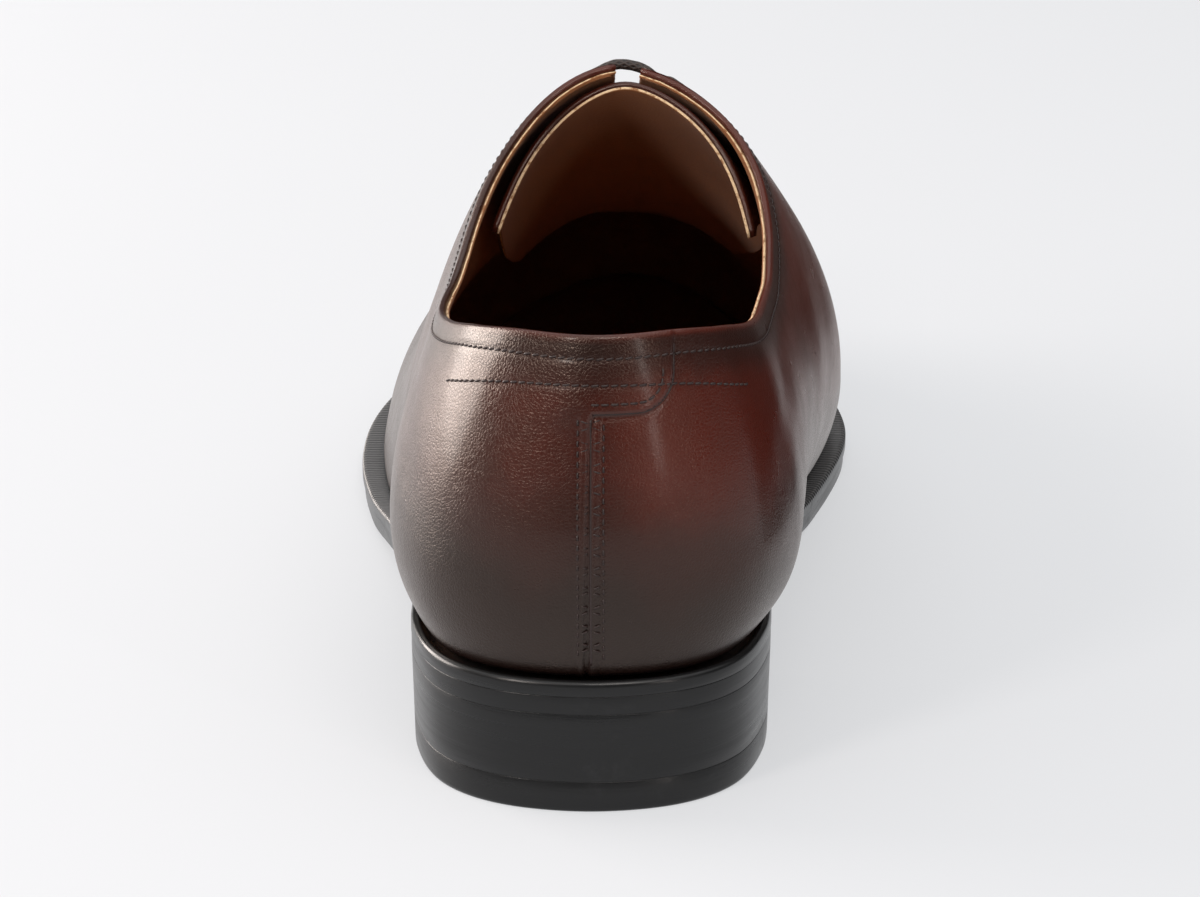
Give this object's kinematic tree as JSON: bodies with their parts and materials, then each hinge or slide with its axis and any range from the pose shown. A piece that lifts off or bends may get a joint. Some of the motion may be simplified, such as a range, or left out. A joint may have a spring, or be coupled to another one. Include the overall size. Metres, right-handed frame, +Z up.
{
  "type": "whole cut oxford shoe, left",
  "caption": "Left dress shoe, whole cut oxford: burgundy brown leather upper, closed lacing tied in a bow, ribbed welt, black leather sole and stacked heel.",
  "frame": {"origin": "middle of the heel's floor face", "axes": "+Y to the toe, +X to the inner (medial) side of the foot, +Z up"},
  "size_m": [0.107, 0.2997, 0.1126],
  "materials": {
    "upper_leather": "burnished calf with a satin gloss",
    "lining_leather": "matt natural",
    "sole_leather": "dyed black edges, waxed",
    "heel_rubber": "smooth",
    "lace": "waxed round braid"
  },
  "bodies": {
    "root": {"upper": "upper_leather", "tongue": "upper_leather", "insole": "lining_leather", "welt": "sole_leather", "outsole": "sole_leather", "heel_base": "sole_leather", "heel_top_piece": "heel_rubber", "lace_bar_1": "lace", "lace_bar_2": "lace", "lace_bar_3": "lace", "lace_bar_4": "lace", "lace_bar_5": "lace", "lace_knot": "lace", "lace_loop_inner": "lace", "lace_loop_outer": "lace", "lace_end_inner": "lace", "lace_end_outer": "lace"}
  },
  "joints": []
}
